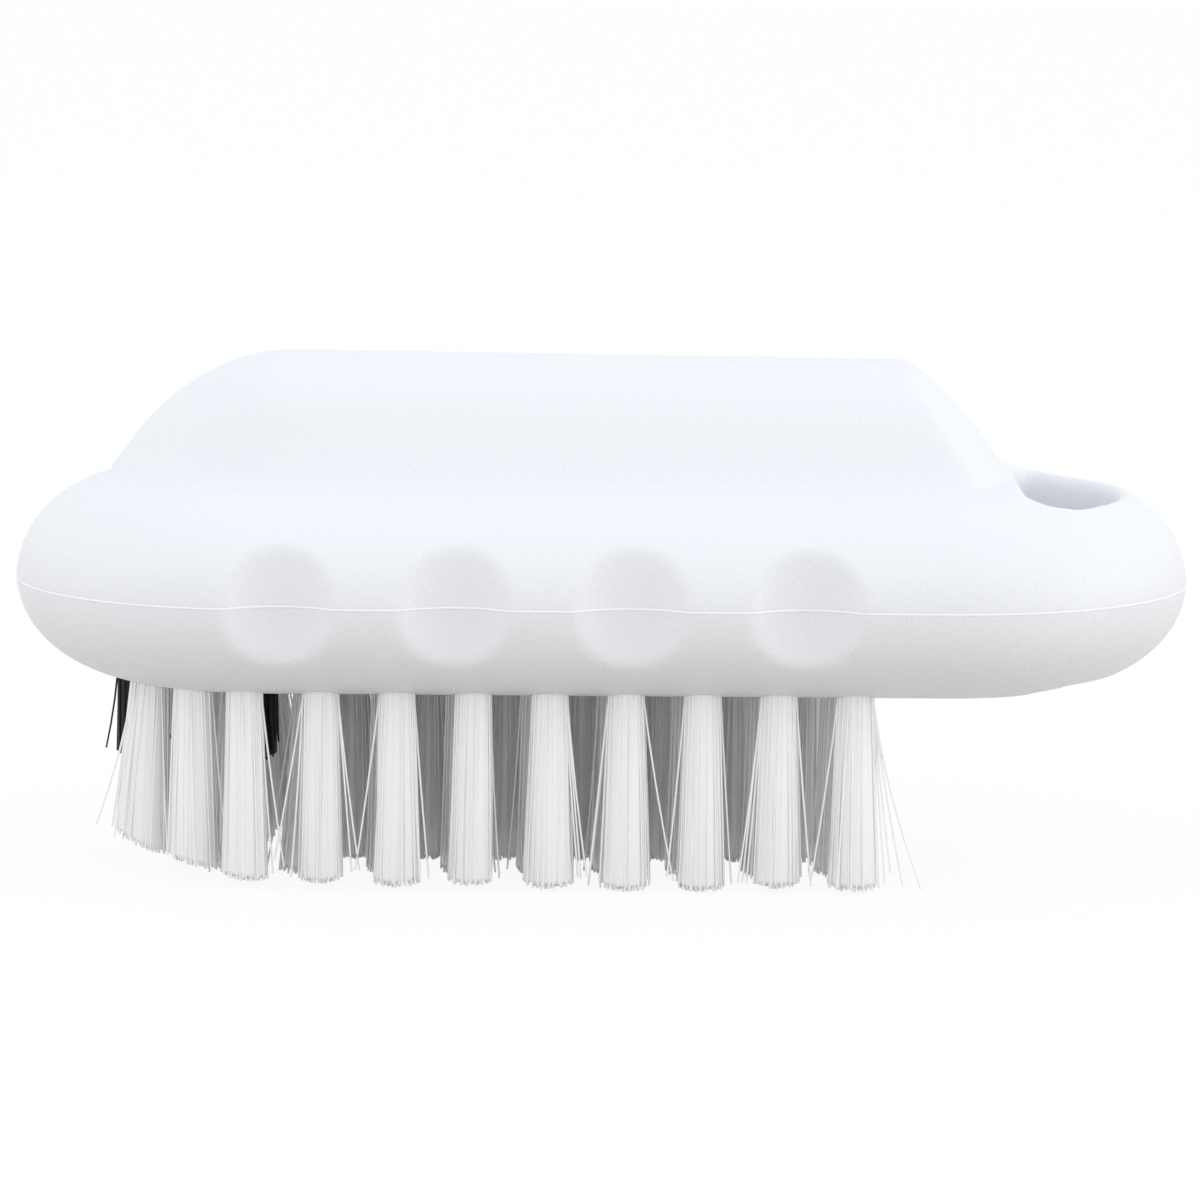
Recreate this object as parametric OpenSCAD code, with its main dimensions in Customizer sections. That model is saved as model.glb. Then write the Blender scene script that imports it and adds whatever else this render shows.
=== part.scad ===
// Nail brush: a moulded block with a raised grip, finger dimples and a hanging slot,
// and fifty tufts of bristle, each folded over an anchor in its own blind hole.
// X runs along the block towards the slot, Z is up, and the bristle tips stand on Z = 0.

/* [Block] */
// Length of the block, end to end
block_l = 118; // [108:1:128]
// Width of the block
block_w = 50; // [47:0.5:56]
// Height of the block's top above the parting plane of its mould
upper_h = 10.5; // [9:0.1:13]
// How far the top edge curves in from the rim
upper_run = 12.5; // [10:0.5:14]
// Depth of the underside below the parting plane
lower_h = 10.2; // [9:0.1:12]
// How far the lower edge curves in from the rim
lower_run = 13.8; // [12:0.2:16.6]

/* [Grip] */
// Height of the grip above the block's top
grip_h = 11.7; // [9.5:0.1:15]
// Width of the grip at its foot
grip_w = 26.6; // [24.6:0.2:30]
// Radius of the grip's shoulders
shoulder_r = 10; // [7:0.5:11]
// Angle of the grip's sides from the level
side_angle = 68; // [64:1:76]
// Angle at which the grip falls towards the slot
grip_fall = 0.5; // [0:0.1:1]
// Gap from the nose of the block to the foot of the grip
nose_gap = 10.8; // [9:0.2:14]
// Length of the grip's rounded nose
nose_l = 18; // [14:0.5:24]
// Length of the slope at the slot end of the grip
slope_l = 10.4; // [8:0.2:14]
// Radius of the slope seen from the side
slope_r = 45; // [30:1:80]
// Radius of the slope's foot seen from above
slope_foot_r = 24; // [19:0.5:30]

/* [Hanging slot] */
// Width of the loop between the slot and the end of the block
loop_w = 7.5; // [6.5:0.1:9]
// Length of the slot along the block
slot_l = 9.4; // [7.6:0.2:10]
// Radius of the slot's two corners
corner_r = 2; // [1.4:0.1:2.6]
// Radius of the slot's lips
lip_r = 0.8; // [0.6:0.1:1.4]

/* [Finger dimples] */
// Number of dimples on each side
dimple_count = 4; // [3:1:5]
// Distance between neighbouring dimples
dimple_pitch = 17; // [14:0.5:18]
// Distance from the nose of the block to the first dimple
dimple_first = 27.9; // [26:0.5:32]
// Depth of a dimple at the rim
dimple_depth = 2.2; // [1.2:0.1:2.8]
// Radius of a dimple's hollow
dimple_r = 7.5; // [6:0.5:9]
// Radius of the soft edges that lead into a dimple
dimple_edge_r = 1.5; // [1:0.5:2.5]

/* [Tufts] */
// Free length of the bristles below the block
bristle_l = 19; // [15:0.5:23]
// Free length of the short black bristles
short_l = 9; // [6:0.5:12]
// Diameter of a tuft where it leaves the block
tuft_d = 3.8; // [3.2:0.1:4]
// Diameter of a tuft at its tips
tip_d = 4.7; // [4:0.1:5]
// Distance between the tufts of the two outer rows on a side
tuft_pitch = 7.5; // [6.5:0.1:7.8]
// Distance between neighbouring rows
row_pitch = 7.5; // [6.5:0.1:7.8]
// Distance between the tufts of the centre row
centre_pitch = 7.8; // [6.6:0.1:8]
// Depth of the tuft holes
hole_depth = 7; // [6:0.5:10]
// Clearance round a tuft in its hole
tuft_clearance = 0.05; // [0.02:0.01:0.1]
// Width of one strand across its corners
strand_d = 1; // [0.8:0.1:1.1]

/* [Anchors] */
// Thickness of an anchor plate
anchor_t = 0.3; // [0.2:0.1:0.6]
// Height of an anchor plate
anchor_h = 1.6; // [1:0.1:2.4]

/* [Hidden] */
$fn = 56;
hole_sides = 16;
overrun = 2;
// The soft edges of a dimple turn out to a line that lies this far outside the rim
dimple_lead = 0.06;
// The lips and corners of the slot are cut this much fuller, to meet what is beside them cleanly
slot_lead = 0.04;

parting_z = bristle_l + lower_h;
top_z = parting_z + upper_h;
nose_x = -block_l / 2;
end_r = block_w / 2;
end_x = block_l / 2 - end_r;

// The grip's foot is sunk into the block so that its fall opens no gap
grip_sink = 3;
nose_axis_x = nose_x + nose_gap + nose_l;
slot_front_x = end_x + end_r - loop_w;
slot_back_x = slot_front_x - slot_l;
slope_foot_x = slot_back_x - lip_r;

outer_row_first = 24;
inner_row_first = 22.9;
centre_row_first = 33.7;
side_row_count = 9;
centre_row_count = 7;
black_count = 3;
// The outer rows turn in at the nose on an arc about this point
nose_turn = 26.5;
nose_turn_x = nose_x + nose_turn;
black_pitch = 6.5;
// Where the two nose tufts of a side stand on the turn of the outer row
nose_angles = [31, 55];
// How much shorter the bristles of those tufts are trimmed
nose_trims = [1.2, 1.6];

root_sides = 8;
strand_sides = 4;
ring_count = 6;
root_reveal = 1;
root_overlap = 0.5;
trim_depth = 0.5;
fold_t = 0.7;
hole_r = tuft_d / 2 + tuft_clearance;
root_z = bristle_l - root_reveal;
hole_top_z = bristle_l + hole_depth;
anchor_z = hole_top_z - fold_t - anchor_h;

outer_y = 2 * row_pitch;
side_names = ["front", "back"];
side_signs = [-1, 1];

// Each tuft: its name, its place, the height of its tips and its colour
TUFTS = concat(
    [for (side = [0, 1], i = [1 : side_row_count])
        [str(side_names[side], "_tuft_", i),
         [nose_x + outer_row_first + (i - 1) * tuft_pitch, side_signs[side] * outer_y], 0, "white"]],
    [for (side = [0, 1], i = [1 : side_row_count])
        [str(side_names[side], "_inner_tuft_", i),
         [nose_x + inner_row_first + (i - 1) * tuft_pitch, side_signs[side] * row_pitch], 0, "white"]],
    [for (i = [1 : centre_row_count])
        [str("centre_tuft_", i),
         [nose_x + centre_row_first + (i - 1) * centre_pitch, 0], 0, "white"]],
    [for (side = [0, 1], i = [0, 1])
        [str(side_names[side], "_nose_tuft_", i + 1),
         [nose_turn_x - outer_y * sin(nose_angles[i]), side_signs[side] * outer_y * cos(nose_angles[i])],
         nose_trims[i], "white"]],
    [for (i = [1 : black_count])
        [str("black_tuft_", i),
         [nose_turn_x - outer_y + (i - 1) * black_pitch, 0], bristle_l - short_l, "black"]]);

// Height of the block's top, and drop of its underside, at a distance in from the rim
function upper_z(inset) =
    upper_h * sqrt(1 - pow(max(0, upper_run - inset) / upper_run, 2));
function lower_z(inset) =
    lower_h * sqrt(1 - pow(max(0, lower_run - inset) / lower_run, 2));

// Half of the block's cross-section: flat top and bottom, elliptical edges
module block_half_section() {
    upper_flat = end_r - upper_run;
    lower_flat = end_r - lower_run;
    square([upper_flat, upper_h]);
    translate([upper_flat, 0])
        intersection() {
            scale([upper_run, upper_h]) circle(r = 1);
            square([upper_run, upper_h]);
        }
    translate([0, -lower_h]) square([lower_flat, lower_h]);
    translate([lower_flat, 0])
        intersection() {
            scale([lower_run, lower_h]) circle(r = 1);
            translate([0, -lower_h]) square([lower_run, lower_h]);
        }
}

module block_solid() {
    translate([0, 0, parting_z]) {
        for (s = [-1, 1])
            translate([s * end_x, 0, 0]) rotate_extrude() block_half_section();
        rotate([90, 0, 90])
            linear_extrude(height = 2 * end_x, center = true) {
                block_half_section();
                mirror([1, 0]) block_half_section();
            }
    }
}

// Cross-section of the grip: leaning sides that round over into a narrow level top
module grip_section() {
    turn_y = shoulder_r * sin(side_angle);
    turn_z = grip_h - shoulder_r * (1 - cos(side_angle));
    level_y = grip_w / 2 - turn_z / tan(side_angle) - turn_y;
    foot_y = grip_w / 2 + grip_sink / tan(side_angle);
    polygon([
        [-foot_y, -grip_sink], [foot_y, -grip_sink],
        [level_y + turn_y, turn_z], [level_y, grip_h],
        [-level_y, grip_h], [-level_y - turn_y, turn_z]]);
    for (s = [-1, 1])
        translate([s * level_y, grip_h - shoulder_r])
            intersection() {
                circle(r = shoulder_r);
                translate([-shoulder_r, 0]) square([2 * shoulder_r, shoulder_r]);
            }
}

// The nose is the cross-section turned about an upright axis and drawn out along X
module grip_nose() {
    foot_y = grip_w / 2 + grip_sink / tan(side_angle);
    scale([nose_l / (grip_w / 2), 1, 1])
        intersection() {
            rotate_extrude()
                intersection() {
                    grip_section();
                    translate([0, -grip_sink]) square([foot_y, grip_sink + grip_h]);
                }
            translate([-foot_y, -foot_y, -grip_sink])
                cube([foot_y, 2 * foot_y, grip_sink + grip_h]);
        }
}

// The space inside the slope: an arc turned about an upright axis, and all before it
module slope_space() {
    chord = sqrt(slope_l * slope_l + grip_h * grip_h);
    reach = sqrt(slope_r * slope_r - chord * chord / 4);
    arc_r = slope_foot_r - slope_l / 2 - reach * grip_h / chord;
    arc_z = grip_h / 2 - reach * slope_l / chord;
    axis_x = slope_foot_x - slope_foot_r;
    translate([axis_x, 0, 0])
        rotate_extrude()
            intersection() {
                translate([arc_r, arc_z]) circle(r = slope_r);
                translate([0, -grip_sink]) square([block_w, grip_sink + grip_h + overrun]);
            }
    translate([nose_axis_x, -end_r, -grip_sink])
        cube([axis_x - nose_axis_x, block_w, grip_sink + grip_h + overrun]);
}

module grip_solid() {
    translate([0, 0, top_z]) rotate([0, grip_fall, 0]) {
        translate([nose_axis_x, 0, 0]) grip_nose();
        intersection() {
            translate([nose_axis_x, 0, 0])
                rotate([90, 0, 90])
                    linear_extrude(height = slope_foot_x + grip_sink - nose_axis_x) grip_section();
            slope_space();
        }
    }
}

// Cross-section of a slot wall at wall_x, whose lips open over the edge at both ends
module wall_section(wall_x, upper, lower) {
    translate([0, -lower_h - overrun])
        square([wall_x, upper_h + lower_h + grip_h + overrun]);
    difference() {
        translate([0, upper - lip_r]) square([wall_x + lip_r, grip_h + lip_r]);
        translate([wall_x + lip_r, upper - lip_r]) circle(r = lip_r);
    }
    difference() {
        translate([0, -lower_h - overrun]) square([wall_x + lip_r, lower_h + overrun - lower + lip_r]);
        translate([wall_x + lip_r, lip_r - lower]) circle(r = lip_r);
    }
}

// The slot follows the end of the block, runs straight across beside the grip, and has a
// small round corner at each side
module slot() {
    front_r = end_r - loop_w;
    crest_inset = loop_w - lip_r;
    front_reach = front_r - corner_r;
    corner_x = slot_back_x + corner_r - end_x;
    corner_y = sqrt(pow(front_reach, 2) - pow(corner_x, 2));
    corner = [corner_x, corner_y];
    half = [corner * block_w / front_reach, corner, corner - [end_r, 0]];
    translate([end_x, 0, parting_z]) {
        intersection() {
            rotate_extrude() wall_section(front_r, upper_z(crest_inset), lower_z(crest_inset));
            translate([front_r + overrun, 0, 0])
                rotate([90, 0, 180])
                    linear_extrude(height = block_w, center = true)
                        wall_section(slot_l + overrun, upper_h + slot_lead, lower_h + slot_lead);
            translate([0, 0, -lower_h - overrun])
                linear_extrude(height = lower_h + upper_h + grip_h + overrun)
                    polygon(concat(half, [for (i = [2 : -1 : 0]) [half[i].x, -half[i].y]]));
        }
        for (s = [-1, 1])
            translate([corner_x, s * corner_y, 0])
                rotate_extrude()
                    wall_section(
                        corner_r + slot_lead,
                        (upper_z(crest_inset) + upper_h) / 2,
                        (lower_z(crest_inset) + lower_h) / 2);
    }
}

// Seen from above, a dimple is a round hollow whose two edges turn out to meet the rim
module dimple_outline() {
    rise = dimple_r - dimple_depth;
    edge_y = dimple_lead - dimple_edge_r;
    edge_x = sqrt(pow(dimple_r + dimple_edge_r, 2) - pow(rise - edge_y, 2));
    turn_share = dimple_r / (dimple_r + dimple_edge_r);
    turn_x = edge_x * turn_share;
    turn_y = rise - (rise - edge_y) * turn_share;
    translate([0, rise]) circle(r = dimple_r);
    difference() {
        polygon([
            [-edge_x, dimple_lead], [-turn_x, turn_y], [turn_x, turn_y],
            [edge_x, dimple_lead], [edge_x, overrun], [-edge_x, overrun]]);
        for (s = [-1, 1])
            translate([s * edge_x, edge_y]) circle(r = dimple_edge_r);
    }
}

module dimples() {
    for (side = side_signs, i = [0 : dimple_count - 1])
        translate([nose_x + dimple_first + i * dimple_pitch, side * end_r, bristle_l - overrun])
            rotate([0, 0, side < 0 ? 180 : 0])
                linear_extrude(height = lower_h + upper_h + 2 * overrun) dimple_outline();
}

module tuft_holes() {
    for (t = TUFTS)
        translate([t[1].x, t[1].y, bristle_l - overrun])
            cylinder(r = hole_r, h = hole_depth + overrun, $fn = hole_sides);
}

module body() {
    color([0.96, 0.97, 0.98])
        difference() {
            union() {
                block_solid();
                grip_solid();
            }
            slot();
            dimples();
            tuft_holes();
        }
}

// An anchor is a small plate on edge that reaches the wall of its hole at both ends
module anchor_plate(length) {
    translate([-length / 2, -anchor_t / 2, anchor_z]) cube([length, anchor_t, anchor_h]);
}

module anchors() {
    anchor_l = 2 * sqrt(hole_r * hole_r - anchor_t * anchor_t / 4);
    color("silver")
        for (t = TUFTS)
            translate([t[1].x, t[1].y, 0]) anchor_plate(anchor_l);
}

// One strand leaves the root at root_at from the tuft's axis and leans out to tip_at
module strand(root_at, tip_at, tip_z) {
    fall = root_z + root_overlap - tip_z;
    lean = atan((tip_at - root_at) / fall);
    length = (fall + trim_depth) / cos(lean);
    translate([root_at, 0, root_z + root_overlap])
        rotate([0, 180 - lean, 0])
            cylinder(d = strand_d, h = length, $fn = strand_sides);
}

// A tuft is a packed root, folded round its anchor, and the strands that fan out of it
module tuft(place, tip_z) {
    ring_at_root = tuft_d / 2 * cos(180 / root_sides) - strand_d / 2;
    ring_at_tip = (tip_d - strand_d) / 2;
    translate([place.x, place.y, 0])
        difference() {
            union() {
                translate([0, 0, root_z])
                    rotate([0, 0, 180 / root_sides])
                        cylinder(d = tuft_d, h = hole_top_z - root_z, $fn = root_sides);
                strand(0, 0, tip_z);
                for (i = [0 : ring_count - 1])
                    rotate([0, 0, i * 360 / ring_count])
                        strand(ring_at_root, ring_at_tip, tip_z);
            }
            anchor_plate(tuft_d + overrun);
            translate([-tip_d, -tip_d, tip_z - overrun]) cube([2 * tip_d, 2 * tip_d, overrun]);
        }
}

body();
anchors();
for (t = TUFTS)
    color(t[3]) tuft(t[1], t[2]);
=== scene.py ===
"""A white nail brush with a moulded block, a raised grip, finger dimples and a hanging slot."""

import math
import random
from collections import namedtuple

import bmesh
import bpy
from mathutils import Matrix, Vector
from mathutils.kdtree import KDTree


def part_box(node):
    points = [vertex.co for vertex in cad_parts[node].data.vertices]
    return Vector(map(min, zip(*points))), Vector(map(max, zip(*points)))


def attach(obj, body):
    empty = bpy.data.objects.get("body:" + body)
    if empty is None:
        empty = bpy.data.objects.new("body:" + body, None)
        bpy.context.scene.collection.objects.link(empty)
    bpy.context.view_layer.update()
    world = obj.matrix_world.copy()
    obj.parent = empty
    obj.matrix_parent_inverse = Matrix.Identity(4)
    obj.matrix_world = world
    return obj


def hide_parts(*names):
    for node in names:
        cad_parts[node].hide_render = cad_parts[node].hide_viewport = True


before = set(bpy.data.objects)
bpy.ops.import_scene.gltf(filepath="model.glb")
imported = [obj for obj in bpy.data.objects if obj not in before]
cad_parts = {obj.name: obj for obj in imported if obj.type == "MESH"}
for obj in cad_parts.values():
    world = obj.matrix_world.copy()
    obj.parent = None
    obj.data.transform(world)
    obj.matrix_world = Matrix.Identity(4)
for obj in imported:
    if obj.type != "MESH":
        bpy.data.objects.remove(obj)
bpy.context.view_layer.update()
mm = 0.001

# Moulded block
# One injection moulding in white polypropylene: base, grip, finger dimples and hanging slot.
# Inner corners and outer edges have a mould's soft radii, and the tuft holes are drilled
# afterwards, so only their mouths are sharp.
block_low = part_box("body")[0]
parting_z = block_low.z + 10.2 * mm
block_white = (0.858, 0.87, 0.903)
block_crease = math.radians(40)

hole_r = 1.95 * mm
hole_depth = 7 * mm
hole_sides = 36
hole_slack = 0.02 * mm
hole_end_slack = 0.1 * mm
weld_gap = 0.002 * mm

skin_step = 0.47 * mm
polish_share = 0.5
mould_polish = 5
crest_polish = 4
crest_foot = 13 * mm
slot_polish = 18
slot_start = 41 * mm
slot_end = 54 * mm
slot_half_width = 17.5 * mm
slot_lip_foot = 2 * mm

draft_depth = 0.12 * mm
draft_reach = 1.4 * mm
rim_relief = 0.08 * mm

# In each pair, a change of shape starts at the first measure and is full at the second.
# Heights count from the parting plane.
nose_reach = (30 * mm, 38 * mm)
shoulder_back = 2.1 * mm
shoulder_rise = (13 * mm, 21 * mm)
foot_forward = 0.75 * mm
foot_rise = (9.6 * mm, 11 * mm)
foot_end = (48.5 * mm, 51 * mm)
foot_flare = 0.6
foot_flare_end = (11 * mm, 13.5 * mm)

corner_fill = 0.4 * mm
corner_reach = 2 * mm
corner_x = 41.9 * mm
corner_y = 12.6 * mm
slot_widening = 0.6 * mm
widening_x = 45.5 * mm
widening_reach = 2.5 * mm
widening_start = (9 * mm, 13 * mm)
widening_end = (16.5 * mm, 21 * mm)
widening_rise = (-6 * mm, -2 * mm)


def axis_of(name):
    """Where a tuft's axis stands in X and Y."""
    low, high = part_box(name)
    return (low.x + high.x) / 2, (low.y + high.y) / 2


tuft_names = [name for name in sorted(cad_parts) if "tuft" in name]
hole_axes = [axis_of(name) for name in tuft_names]


def undrilled(cad_mesh):
    """A copy of the block with its tuft holes closed flush with the underside."""
    block = bmesh.new()
    block.from_mesh(cad_mesh)
    bmesh.ops.remove_doubles(block, verts=block.verts, dist=weld_gap)
    axes = KDTree(len(hole_axes))
    for i, (x, y) in enumerate(hole_axes):
        axes.insert((x, y, 0), i)
    axes.balance()
    hole_end = block_low.z + hole_depth + hole_end_slack
    in_hole = {}
    for v in block.verts:
        i, distance = axes.find((v.co.x, v.co.y, 0))[1:]
        if distance < hole_r + hole_slack and v.co.z < hole_end:
            in_hole[v] = i
    walls = [f for f in block.faces if len({in_hole.get(v, -1 - v.index) for v in f.verts}) == 1]
    bmesh.ops.delete(block, geom=walls, context="FACES")
    bmesh.ops.holes_fill(block, edges=[e for e in block.edges if e.is_boundary], sides=0)
    return block


def to_object(shape, name):
    """Turns a bmesh into an object of that name."""
    mesh = bpy.data.meshes.new(name)
    shape.to_mesh(mesh)
    shape.free()
    piece = bpy.data.objects.new(name, mesh)
    bpy.context.scene.collection.objects.link(piece)
    return piece


def apply_modifiers(piece):
    """Replaces a piece's mesh with what its modifiers make of it."""
    finished = bpy.data.meshes.new_from_object(
        piece.evaluated_get(bpy.context.evaluated_depsgraph_get()))
    piece.modifiers.clear()
    piece.data = finished


def smooth_shaded(piece, crease):
    """Shades a piece smooth, with creases kept where faces meet at a larger angle."""
    piece.data.polygons.foreach_set("use_smooth", [True] * len(piece.data.polygons))
    piece.data.set_sharp_from_angle(angle=crease)


moulded_block = to_object(undrilled(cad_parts["body"].data), "moulded_block")
skin = moulded_block.modifiers.new("skin", "REMESH")
skin.mode = "VOXEL"
skin.voxel_size = skin_step
apply_modifiers(moulded_block)


def polish(shape, verts, passes):
    """Rounds off the edges and inner corners of part of a shape, a little with each pass."""
    for i in range(passes):
        bmesh.ops.smooth_vert(shape, verts=verts, factor=polish_share,
                              use_axis_x=True, use_axis_y=True, use_axis_z=True)


def eased(value, start, full):
    """0 before start, 1 after full, and smooth between them."""
    share = min(1, max(0, (value - start) / (full - start)))
    return share * share * (3 - 2 * share)


def ease_nose(shape):
    """Draws the foot of the grip's nose forward a little and its shoulder back."""
    for v in shape.verts:
        height = v.co.z - parting_z
        at_nose = eased(-v.co.x, *nose_reach)
        shoulder = eased(height, *shoulder_rise)
        foot = eased(height, *foot_rise) * (1 - eased(-v.co.x, *foot_end))
        flare = 1 + foot_flare * (1 - eased(height, *foot_flare_end))
        v.co.x += at_nose * (shoulder_back * shoulder - foot_forward * foot * flare)


def shape_slot_corners(shape):
    """Rounds the slot's inner corners, and draws its two ends out a little on the upper side."""
    for v in shape.verts:
        side = abs(v.co.y)
        away = math.hypot(v.co.x - corner_x, side - corner_y) / corner_reach
        v.co.x += corner_fill * math.exp(-away * away)
        along = (v.co.x - widening_x) / widening_reach
        at_end = eased(side, *widening_start) * (1 - eased(side, *widening_end))
        upper = eased(v.co.z - parting_z, *widening_rise)
        outward = math.copysign(slot_widening, v.co.y)
        v.co.y += outward * math.exp(-along * along) * at_end * upper


def add_draft(shape):
    """Leans the sides in from the parting plane, so that the block leaves its mould."""
    shape.normal_update()
    for v in shape.verts:
        lean = 1 - math.exp(-abs(v.co.z - parting_z) / draft_reach)
        v.co -= (rim_relief + draft_depth * lean) * Vector((v.normal.x, v.normal.y, 0))


softened = bmesh.new()
softened.from_mesh(moulded_block.data)
polish(softened, softened.verts, mould_polish)
crest = [v for v in softened.verts
         if v.co.x < slot_start and v.co.z > parting_z + crest_foot]
polish(softened, crest, crest_polish)
ease_nose(softened)
shape_slot_corners(softened)
slot_lip = [v for v in softened.verts
            if slot_start < v.co.x < slot_end and abs(v.co.y) < slot_half_width
            and v.co.z > parting_z + slot_lip_foot]
polish(softened, slot_lip, slot_polish)
add_draft(softened)
softened.to_mesh(moulded_block.data)
softened.free()

drill = bmesh.new()
for x, y in hole_axes:
    bmesh.ops.create_cone(
        drill, cap_ends=True, segments=hole_sides, radius1=hole_r, radius2=hole_r,
        depth=2 * hole_depth, matrix=Matrix.Translation((x, y, block_low.z)))
drills = to_object(drill, "drills")
holes = moulded_block.modifiers.new("holes", "BOOLEAN")
holes.operation = "DIFFERENCE"
holes.solver = "MANIFOLD"
holes.object = drills
apply_modifiers(moulded_block)
bpy.data.objects.remove(drills)
smooth_shaded(moulded_block, block_crease)
moulded_block.data.materials.clear()

grain_scale = 2300
grain_stretch = (1, 1, 0.7)
grain_depth = 0.08 * mm
gloss_scale = 60
noise_low = 0.3
noise_high = 0.7


def new_material(name):
    """An empty node material, its Principled shader, and its node tree."""
    material = bpy.data.materials.new(name)
    material.use_nodes = True
    tree = material.node_tree
    return material, tree.nodes["Principled BSDF"], tree


def object_noise(tree, scale, stretch=(1, 1, 1)):
    """Noise on Object coordinates. Its cells are about 1 / scale metres wide."""
    place = tree.nodes.new("ShaderNodeTexCoord")
    stretched = tree.nodes.new("ShaderNodeMapping")
    stretched.inputs["Scale"].default_value = stretch
    noise = tree.nodes.new("ShaderNodeTexNoise")
    noise.inputs["Scale"].default_value = scale
    noise.inputs["Detail"].default_value = 2
    tree.links.new(place.outputs["Object"], stretched.inputs["Vector"])
    tree.links.new(stretched.outputs["Vector"], noise.inputs["Vector"])
    return noise.outputs["Fac"]


def vary(tree, noise, low, high, socket):
    """Lets a noise move a shader's socket between low and high."""
    spread = tree.nodes.new("ShaderNodeMapRange")
    spread.inputs["From Min"].default_value = noise_low
    spread.inputs["From Max"].default_value = noise_high
    spread.inputs["To Min"].default_value = low
    spread.inputs["To Max"].default_value = high
    tree.links.new(noise, spread.inputs["Value"])
    tree.links.new(spread.outputs["Result"], socket)


def emboss(tree, noise, depth, shader):
    """Presses a noise into a surface."""
    bump = tree.nodes.new("ShaderNodeBump")
    bump.inputs["Strength"].default_value = 1
    bump.inputs["Distance"].default_value = depth
    tree.links.new(noise, bump.inputs["Height"])
    tree.links.new(bump.outputs["Normal"], shader.inputs["Normal"])


def grained_polypropylene():
    """Matt white plastic with a fine moulded grain, which lets a little light in."""
    material, shader, tree = new_material("grained_polypropylene")
    shader.inputs["Base Color"].default_value = (*block_white, 1)
    shader.inputs["Specular IOR Level"].default_value = 0.4
    shader.inputs["Subsurface Weight"].default_value = 0.15
    shader.inputs["Subsurface Radius"].default_value = (1, 1, 1)
    shader.inputs["Subsurface Scale"].default_value = 2.5 * mm
    vary(tree, object_noise(tree, gloss_scale), 0.42, 0.5, shader.inputs["Roughness"])
    emboss(tree, object_noise(tree, grain_scale, grain_stretch), grain_depth, shader)
    return material


moulded_block.data.materials.append(grained_polypropylene())
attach(moulded_block, "root")
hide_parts("body")

# Parting bead
# Where the two halves of the mould meet, the plastic creeps out in a thin raised line that
# runs right round the rim and through the finger dimples. It is part of the moulding. Its colour
# is lighter than the block's plastic, which paints a highlight along the line.
bead_r = 0.12 * mm
bead_inset = 0.05 * mm
bead_step = 2
bead_crease = math.radians(60)
# The bead's colour is lighter than the block's plastic: a painted highlight along the parting
# line.
bead_painted_highlight_white = (0.97, 0.98, 0.99)


def rim_loop(piece, height):
    """The outline of a piece at a height, as points in order, without the slot's."""
    cut = bmesh.new()
    cut.from_mesh(piece.data)
    bmesh.ops.bisect_plane(
        cut, geom=cut.verts[:] + cut.edges[:] + cut.faces[:],
        plane_co=(0, 0, height), plane_no=(0, 0, 1), clear_inner=True, clear_outer=True)
    loops = []
    left = set(cut.verts)
    while left:
        v = left.pop()
        loop = [v]
        while True:
            onward = [e.other_vert(loop[-1]) for e in loop[-1].link_edges]
            onward = [w for w in onward if w in left]
            if not onward:
                break
            loop.append(onward[0])
            left.discard(onward[0])
        loops.append([w.co.copy() for w in loop])
    cut.free()
    return max(loops, key=lambda points: max(p.x for p in points))


def moved_inward(points, distance):
    """A level closed outline moved towards its own inside."""
    count = len(points)
    pairs = [(points[i - 1], points[i]) for i in range(count)]
    area = sum(p.x * q.y - q.x * p.y for p, q in pairs)
    side = 1 if area > 0 else -1
    moved = []
    for i in range(count):
        along = (points[(i + 2) % count] - points[i - 2]).normalized()
        moved.append(points[i] + distance * side * Vector((-along.y, along.x, 0)))
    return moved


def tube_along(points, radius, name):
    """A closed round tube along points, as a mesh object."""
    line = bpy.data.curves.new(name, "CURVE")
    line.dimensions = "3D"
    line.bevel_depth = radius
    line.bevel_resolution = 2
    spline = line.splines.new("POLY")
    spline.points.add(len(points) - 1)
    for place, p in zip(spline.points, points):
        place.co = (*p, 1)
    spline.use_cyclic_u = True
    curve = bpy.data.objects.new(name + "_line", line)
    bpy.context.scene.collection.objects.link(curve)
    mesh = bpy.data.meshes.new_from_object(
        curve.evaluated_get(bpy.context.evaluated_depsgraph_get()))
    bpy.data.objects.remove(curve)
    piece = bpy.data.objects.new(name, mesh)
    bpy.context.scene.collection.objects.link(piece)
    return piece


def bare_polypropylene_painted_highlight():
    """The block's plastic without its grain, because the bead forms between the mould's skins,
    painted lighter as a highlight.
    """
    material, shader, tree = new_material("bare_polypropylene_painted_highlight")
    shader.inputs["Base Color"].default_value = (*bead_painted_highlight_white, 1)
    vary(tree, object_noise(tree, gloss_scale), 0.38, 0.46, shader.inputs["Roughness"])
    return material


rim = rim_loop(moulded_block, parting_z)[::bead_step]
parting_bead = tube_along(moved_inward(rim, bead_inset), bead_r, "parting_bead")
smooth_shaded(parting_bead, bead_crease)
parting_bead.data.materials.clear()
parting_bead.data.materials.append(bare_polypropylene_painted_highlight())
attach(parting_bead, "root")

# Anchors
# Small plates sheared from steel strip. Each lies across the bottom of its hole and holds
# the fold of a tuft there, so no plate is seen from outside.
anchor_grey = (0.62, 0.62, 0.6)
rolling_scale = 4000
rolling_stretch = (0.1, 1, 1)


def sheared_steel():
    """Plain steel strip with faint rolling marks."""
    material, shader, tree = new_material("sheared_steel")
    shader.inputs["Base Color"].default_value = (*anchor_grey, 1)
    shader.inputs["Metallic"].default_value = 1
    marks = object_noise(tree, rolling_scale, rolling_stretch)
    vary(tree, marks, 0.25, 0.45, shader.inputs["Roughness"])
    return material


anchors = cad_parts["anchors"]
anchors.data.materials.clear()
anchors.data.materials.append(sheared_steel())

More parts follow.
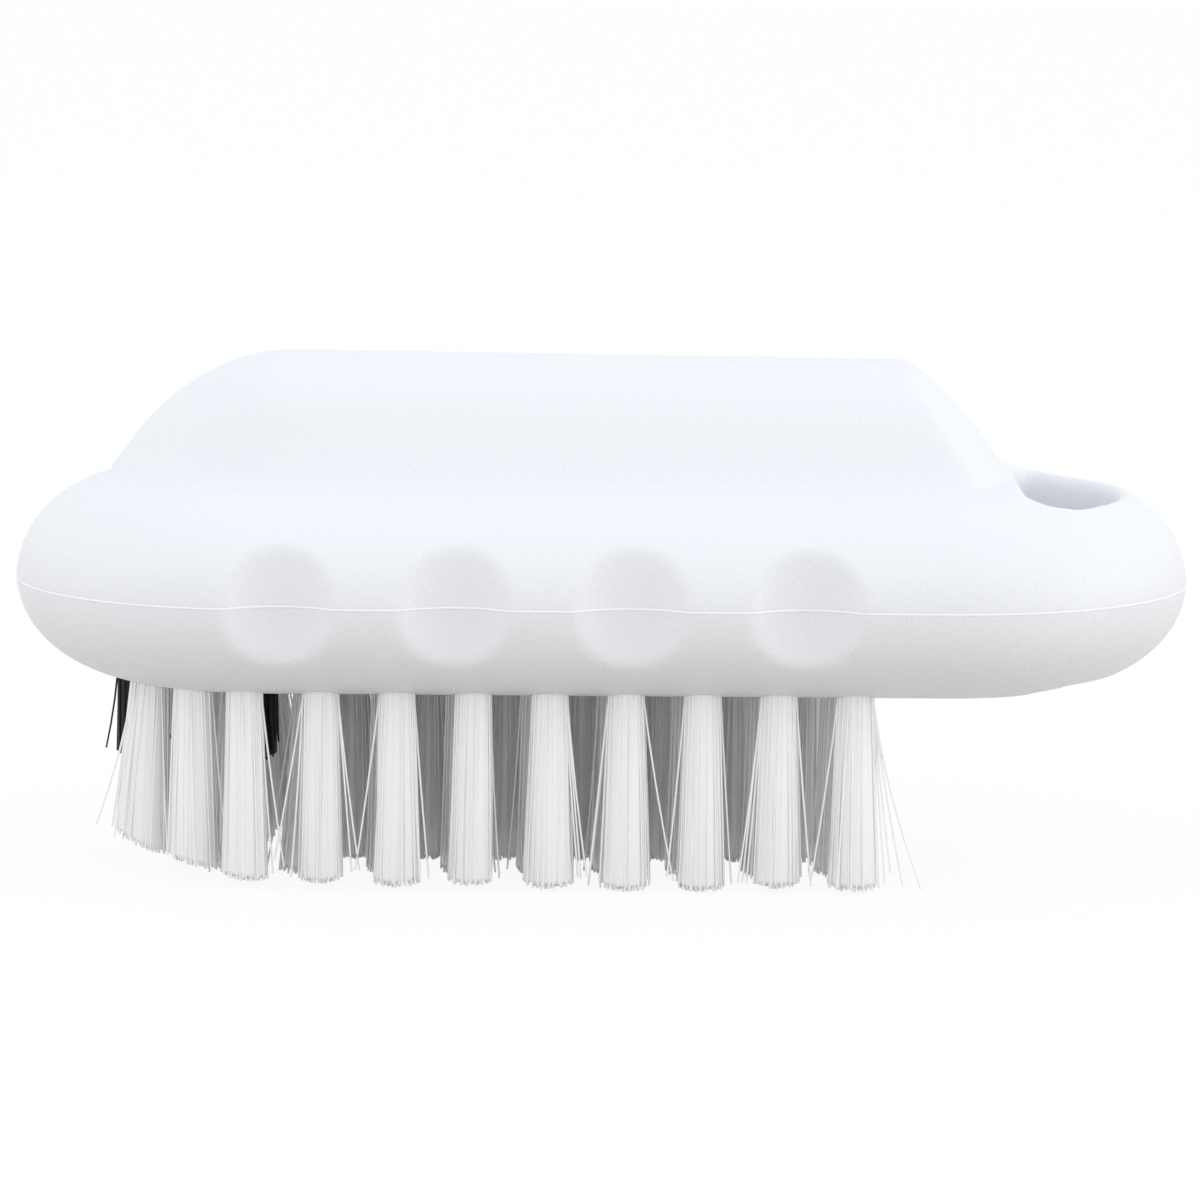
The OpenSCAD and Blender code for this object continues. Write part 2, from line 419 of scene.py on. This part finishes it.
# White tufts
# Each is a bundle of straight nylon filaments, folded over its anchor, packed tight where it
# leaves the block and fanned a little towards the tips. The middle of a bundle is too dense to
# see between its filaments. The tips are cut level, and a few filaments always stray.
filament_r = 0.12 * mm
filament_sides = 5
filament_taper = 0.8
filament_cuts = 4
filament_count = 170
filament_crease = math.radians(60)
white_nylon_colour = (0.988, 0.99, 0.99)
dull_share = 0.98

packed_share = 0.92
nose_packed_share = 0.99
core_share = 0.96
core_sides = 20
core_short = 0.65 * mm
core_round_share = 0.2
golden_angle = math.pi * (3 - math.sqrt(5))

root_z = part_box("anchors")[0].z - 0.2 * mm
mouth_z = block_low.z + 0.4 * mm
white_lift = 0.01 * mm
white_crown = 0.3 * mm
white_ragged = 0.6 * mm
front_strays = 1
hidden_strays = 4
white_seed = 100

fan_scatter = (0.92, 1.1)
turn_scatter = 0.06
bend_scatter = 0.08 * mm
stray_reach = (0.4 * mm, 1.5 * mm)
stray_bend_share = 0.5
flyaway_root_y = -0.4 * mm
flyaway_tip_y = -0.9 * mm
flyaway_tone = 0.6

# How a tuft was cut: how much shorter than its level, how wide at the tips from its axis, how
# far it leans along X, and how steeply the cut rises towards the nose.
Cut = namedtuple("Cut", "short tip_r lean slope", defaults=(0, 2.3 * mm, 0, 0))
cuts = {
    "front_nose_tuft_2": Cut(tip_r=2.75 * mm, lean=-0.9 * mm, slope=0.45),
    "front_nose_tuft_1": Cut(tip_r=2.5 * mm, slope=0.25),
    "front_tuft_1": Cut(short=0.5 * mm, slope=0.12),
    "front_tuft_2": Cut(short=0.55 * mm, tip_r=2.15 * mm),
    "front_tuft_3": Cut(short=0.3 * mm, tip_r=2.4 * mm),
    "front_tuft_4": Cut(short=0.4 * mm, tip_r=2.2 * mm, lean=-0.2 * mm),
    "front_tuft_5": Cut(short=0.2 * mm, tip_r=2.5 * mm),
    "front_tuft_6": Cut(tip_r=2.4 * mm),
    "front_tuft_8": Cut(short=0.4 * mm, tip_r=2.35 * mm),
    "front_tuft_9": Cut(short=0.2 * mm, tip_r=2.6 * mm),
    "front_inner_tuft_2": Cut(tip_r=3 * mm, lean=-0.6 * mm),
    "back_tuft_1": Cut(tip_r=3 * mm, lean=1.4 * mm)}

# Single filaments that stand off a tuft, in millimetres: where they leave the block and where
# they end, along X from the tuft's axis, how high they end, and how far they bow.
flyaways = {
    "front_nose_tuft_2": [(-1.6, -5.4, 5.1, -1.5)],
    "front_tuft_1": [(1.7, 3.93, 2.3, 0.4), (1.6, 2.85, 1.6, 0.3)],
    "front_tuft_2": [(-1.7, -4.5, 3, -0.4), (1.7, 3.1, 1.8, 0), (1.7, 3.85, 2, 0.4)],
    "front_tuft_3": [(-1.7, -4.05, 2, -0.3), (1.7, 3.2, 1.2, 0.2)],
    "front_tuft_5": [(1.7, 3.75, 1.5, 0.5), (1.6, 3.2, 1.3, 0), (1.5, 2.9, 1.4, 0.2)],
    "front_tuft_6": [(-1.7, -3.5, 1.6, 0), (1.7, 4.8, 1.1, 0.7)],
    "front_tuft_7": [(-1.7, -3.35, 1.5, -0.2)],
    "front_tuft_8": [(-1.7, -3.85, 1, -0.5), (-1.7, -3.4, 1.1, 0), (-1.6, -3, 1, -0.2),
                     (1.7, 3.35, 0.7, 0.2)],
    "front_tuft_9": [(-1.7, -4.1, 1.5, -0.4), (1.7, 4.9, 0.8, 0.6), (1.6, 3.15, 1, 0),
                     (1.7, 3.7, 2.1, 0.3), (1.7, 6.7, 0.5, 2.2)]}


def filament_blank():
    """A straight unit filament: its height is the share of the way from root to tip."""
    shape = bmesh.new()
    bmesh.ops.create_cone(
        shape, cap_ends=True, segments=filament_sides, radius1=1, radius2=filament_taper,
        depth=1, matrix=Matrix.Translation((0, 0, 0.5)))
    long_edges = [e for e in shape.edges if abs(e.verts[0].co.z - e.verts[1].co.z) > 0.5]
    bmesh.ops.subdivide_edges(shape, edges=long_edges, cuts=filament_cuts)
    return to_object(shape, "filament_blank")


blank = filament_blank()


def packed_core(root_r, tip_r, end_z):
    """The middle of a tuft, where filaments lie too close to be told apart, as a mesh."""
    core = bmesh.new()
    bmesh.ops.create_cone(
        core, cap_ends=True, segments=core_sides, radius1=tip_r, radius2=root_r,
        depth=mouth_z - end_z, matrix=Matrix.Translation((0, 0, (mouth_z + end_z) / 2)))
    upper = max(core.faces, key=lambda f: f.calc_center_median().z)
    made = bmesh.ops.extrude_face_region(core, geom=[upper])
    bmesh.ops.delete(core, geom=[upper], context="FACES_ONLY")
    raised = [g for g in made["geom"] if isinstance(g, bmesh.types.BMVert)]
    bmesh.ops.translate(core, verts=raised, vec=(0, 0, root_z - mouth_z))
    end = min(core.faces, key=lambda f: f.calc_center_median().z)
    bmesh.ops.bevel(core, geom=end.edges[:], offset=core_round_share * tip_r, affect="EDGES",
                    segments=2, profile=0.5, material=-1)
    mesh = bpy.data.meshes.new("packed_core")
    core.to_mesh(mesh)
    core.free()
    return mesh


def add_filament(tuft, root, tip, bend, tone):
    """Adds one filament to a tuft. It runs straight to the mouth of its hole and then leans."""
    first = len(tuft.verts)
    tuft.from_mesh(blank.data)
    tuft.verts.ensure_lookup_table()
    shade = tuft.verts.layers.float["tone"]
    for v in tuft.verts[first:]:
        z = root.z + (tip.z - root.z) * v.co.z
        out = max(0, (mouth_z - z) / (mouth_z - tip.z))
        bowed = out * out - out
        x = root.x + (tip.x - root.x) * out + bend.x * bowed
        y = root.y + (tip.y - root.y) * out + bend.y * bowed
        v.co = (x + v.co.x * filament_r, y + v.co.y * filament_r, z)
        v[shade] = tone


def build_tuft(name, cut, lift, count, root_r, crown, ragged, strays, seed):
    """A tuft of filaments whose roots and tips are spread like the seeds of a sunflower."""
    draw = random.Random(seed)
    x, y = axis_of(name)
    tip_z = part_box(name)[0].z + cut.short + lift
    core_end = tip_z + core_short
    tuft = bmesh.new()
    tuft.from_mesh(packed_core(core_share * root_r, core_share * cut.tip_r, core_end))
    shade = tuft.verts.layers.float.new("tone")
    for v in tuft.verts:
        out = max(0, (mouth_z - v.co.z) / (mouth_z - tip_z))
        rise = cut.slope * (cut.tip_r - v.co.x) if out > 0.5 else 0
        v.co += Vector((x + cut.lean * out, y, rise))
        v[shade] = 1
    spin = draw.uniform(0, math.tau)
    for i in range(count):
        share = math.sqrt((i + 0.5) / count)
        angle = spin + i * golden_angle
        from_axis = root_r * share * Vector((math.cos(angle), math.sin(angle), 0))
        root = Vector((x, y, root_z)) + from_axis
        fan = cut.tip_r * share * draw.uniform(*fan_scatter)
        turn = angle + draw.gauss(0, turn_scatter)
        outward = Vector((math.cos(turn), math.sin(turn), 0))
        rise = max(0, cut.slope * (cut.tip_r - fan * outward.x))
        end_z = tip_z + crown * share ** 3 + draw.uniform(0, ragged) + rise
        tip = Vector((x + cut.lean, y, end_z)) + fan * outward
        bend = Vector((draw.gauss(0, bend_scatter), draw.gauss(0, bend_scatter), 0))
        if i >= count - strays:
            reach = draw.uniform(*stray_reach)
            tip += reach * outward
            bend += stray_bend_share * reach * outward
        add_filament(tuft, root, tip, bend, draw.random())
    for from_x, to_x, height, bow in flyaways.get(name, []):
        root = Vector((x + from_x * mm, y + flyaway_root_y, root_z))
        tip = Vector((x + to_x * mm, y + flyaway_tip_y, height * mm))
        add_filament(tuft, root, tip, Vector((bow * mm, 0, 0)), flyaway_tone)
    return to_object(tuft, name + "_filaments")


def nylon(name, colour, roughness, shine, gloss):
    """Smooth filament, each a shade duller or brighter than its neighbours."""
    material, shader, tree = new_material(name)
    tone = tree.nodes.new("ShaderNodeAttribute")
    tone.attribute_name = "tone"
    mix = tree.nodes.new("ShaderNodeMix")
    mix.data_type = "RGBA"
    mix.inputs["A"].default_value = (*[dull_share * c for c in colour], 1)
    mix.inputs["B"].default_value = (*colour, 1)
    tree.links.new(tone.outputs["Fac"], mix.inputs["Factor"])
    tree.links.new(mix.outputs["Result"], shader.inputs["Base Color"])
    shader.inputs["Roughness"].default_value = roughness
    shader.inputs["Specular IOR Level"].default_value = shine
    shader.inputs["Coat Weight"].default_value = gloss
    shader.inputs["Coat IOR"].default_value = 1.7
    shader.inputs["Coat Roughness"].default_value = 0.25
    return material


white_nylon = nylon("white_nylon", white_nylon_colour, roughness=0.35, shine=1, gloss=1)
white_tufts = [name for name in tuft_names if not name.startswith("black")]
for i, name in enumerate(white_tufts):
    tuft = build_tuft(
        name, cuts.get(name, Cut()), lift=white_lift, count=filament_count,
        root_r=hole_r * (nose_packed_share if "nose" in name else packed_share),
        crown=white_crown, ragged=white_ragged,
        strays=front_strays if name.startswith("front_tuft") else hidden_strays,
        seed=white_seed + i)
    smooth_shaded(tuft, filament_crease)
    tuft.data.materials.append(white_nylon)
    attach(tuft, "root")
    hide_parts(name)

# Black tufts
# Three short tufts of black filaments stand on the middle line at the nose. They are the same
# nylon, dyed, and are trimmed to about half the length of the white ones.
black_nylon_colour = (0.012, 0.01, 0.01)
black_count = 120
black_crown = 0.6 * mm
black_ragged = 2 * mm
black_strays = 3
black_seed = 200
black_root_r = {
    "black_tuft_1": 1.35 * mm, "black_tuft_2": 1.3 * mm, "black_tuft_3": packed_share * hole_r}
black_cuts = {
    "black_tuft_1": Cut(tip_r=1.5 * mm), "black_tuft_2": Cut(tip_r=1.3 * mm),
    "black_tuft_3": Cut(tip_r=1.6 * mm, lean=0.2 * mm)}

black_nylon = nylon("black_nylon", black_nylon_colour, roughness=0.4, shine=0.3, gloss=0)
for i, name in enumerate(sorted(black_cuts)):
    tuft = build_tuft(
        name, black_cuts[name], lift=0, count=black_count, root_r=black_root_r[name],
        crown=black_crown, ragged=black_ragged, strays=black_strays, seed=black_seed + i)
    smooth_shaded(tuft, filament_crease)
    tuft.data.materials.append(black_nylon)
    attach(tuft, "root")
    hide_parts(name)
bpy.data.objects.remove(blank)

# Studio
# A pale floor under the brush, a white surround, and three soft lamps: above in front, to the
# right and, weaker, to the left. The camera sees floor and surround as white, with the shadow.
floor_half = 3
floor_paint = (0.98, 0.98, 0.98)
floor_bounce = (0.655, 0.61, 0.56)
floor_veil = 0.92
sky_tint = (0.94, 0.97, 1)
sky_strength = 0.965
plain_white = (1, 1, 1, 1)


def seen_directly(tree):
    """1 for what the camera sees, also in gloss and through glass, and 0 for bounced light."""
    path = tree.nodes.new("ShaderNodeLightPath")
    gloss = tree.nodes.new("ShaderNodeMath")
    gloss.operation = "MAXIMUM"
    seen = tree.nodes.new("ShaderNodeMath")
    seen.operation = "MAXIMUM"
    tree.links.new(path.outputs["Is Glossy Ray"], gloss.inputs[0])
    tree.links.new(path.outputs["Is Transmission Ray"], gloss.inputs[1])
    tree.links.new(path.outputs["Is Camera Ray"], seen.inputs[0])
    tree.links.new(gloss.outputs["Value"], seen.inputs[1])
    return seen.outputs["Value"]


def pale_floor():
    """Nearly white to the camera, so that only the soft shadow shows, and plain pale to light."""
    material, shader, tree = new_material("pale_floor")
    shader.inputs["Roughness"].default_value = 1
    shader.inputs["Specular IOR Level"].default_value = 0
    seen = seen_directly(tree)
    paint = tree.nodes.new("ShaderNodeMix")
    paint.data_type = "RGBA"
    paint.inputs["A"].default_value = (*floor_bounce, 1)
    paint.inputs["B"].default_value = (*floor_paint, 1)
    tree.links.new(seen, paint.inputs["Factor"])
    tree.links.new(paint.outputs["Result"], shader.inputs["Base Color"])
    glow = tree.nodes.new("ShaderNodeEmission")
    glow.inputs["Color"].default_value = plain_white
    share = tree.nodes.new("ShaderNodeMath")
    share.operation = "MULTIPLY"
    share.inputs[1].default_value = floor_veil
    blend = tree.nodes.new("ShaderNodeMixShader")
    tree.links.new(seen, share.inputs[0])
    tree.links.new(share.outputs["Value"], blend.inputs["Fac"])
    tree.links.new(shader.outputs["BSDF"], blend.inputs[1])
    tree.links.new(glow.outputs["Emission"], blend.inputs[2])
    tree.links.new(blend.outputs["Shader"], tree.nodes["Material Output"].inputs["Surface"])
    return material


floor_shape = bmesh.new()
bmesh.ops.create_grid(floor_shape, x_segments=1, y_segments=1, size=floor_half)
floor = to_object(floor_shape, "floor")
floor.data.materials.append(pale_floor())


def white_surround():
    """Even soft light from all round, and plain white to the camera."""
    world = bpy.data.worlds.new("white_surround")
    world.use_nodes = True
    tree = world.node_tree
    light = tree.nodes["Background"]
    light.inputs["Color"].default_value = (*sky_tint, 1)
    light.inputs["Strength"].default_value = sky_strength
    white = tree.nodes.new("ShaderNodeBackground")
    white.inputs["Color"].default_value = plain_white
    white.inputs["Strength"].default_value = 1
    blend = tree.nodes.new("ShaderNodeMixShader")
    tree.links.new(seen_directly(tree), blend.inputs["Fac"])
    tree.links.new(light.outputs["Background"], blend.inputs[1])
    tree.links.new(white.outputs["Background"], blend.inputs[2])
    tree.links.new(blend.outputs["Shader"], tree.nodes["World Output"].inputs["Surface"])
    return world


def soft_lamp(name, place, size, power):
    """A square lamp that faces the brush."""
    light = bpy.data.lights.new(name, "AREA")
    light.size = size
    light.energy = power
    lamp = bpy.data.objects.new(name, light)
    lamp.location = place
    lamp.rotation_euler = Vector(place).to_track_quat("Z", "Y").to_euler()
    bpy.context.scene.collection.objects.link(lamp)


bpy.context.scene.world = white_surround()
bpy.context.scene.view_settings.view_transform = "Standard"
soft_lamp("front_lamp", place=(0.1, -0.8, 0.7), size=0.8, power=0.78)
soft_lamp("right_lamp", place=(1, -0.27, 0.3), size=0.6, power=2.3)
soft_lamp("left_lamp", place=(-1, -0.27, 0.45), size=0.6, power=1.25)

# Camera
# The photograph's own view, from in front of the brush and half a metre away, looking slightly
# down. The point that it aims at is the middle of the parting plane.
view_distance = 500 * mm
view_down = math.radians(8.27)
view_roll = math.radians(0.43)
nearest_seen = 10 * mm
focal_px = 4955
frame_px = 1200
aim_px = (601.5, 575.3)

camera_data = bpy.data.cameras.new("camera")
camera_data.sensor_width = 36
camera_data.lens = camera_data.sensor_width * focal_px / frame_px
camera_data.shift_x = (frame_px / 2 - aim_px[0]) / frame_px
camera_data.shift_y = (aim_px[1] - frame_px / 2) / frame_px
camera_data.clip_start = nearest_seen
camera = bpy.data.objects.new("camera", camera_data)
bpy.context.scene.collection.objects.link(camera)
aim = Vector((0, 0, parting_z))
back = Vector((0, -math.cos(view_down), math.sin(view_down)))
facing = (-back).to_track_quat("-Z", "Y").to_matrix().to_4x4()
camera.matrix_world = (
    Matrix.Translation(aim + view_distance * back) @ facing @ Matrix.Rotation(view_roll, 4, "Z"))
bpy.context.scene.camera = camera
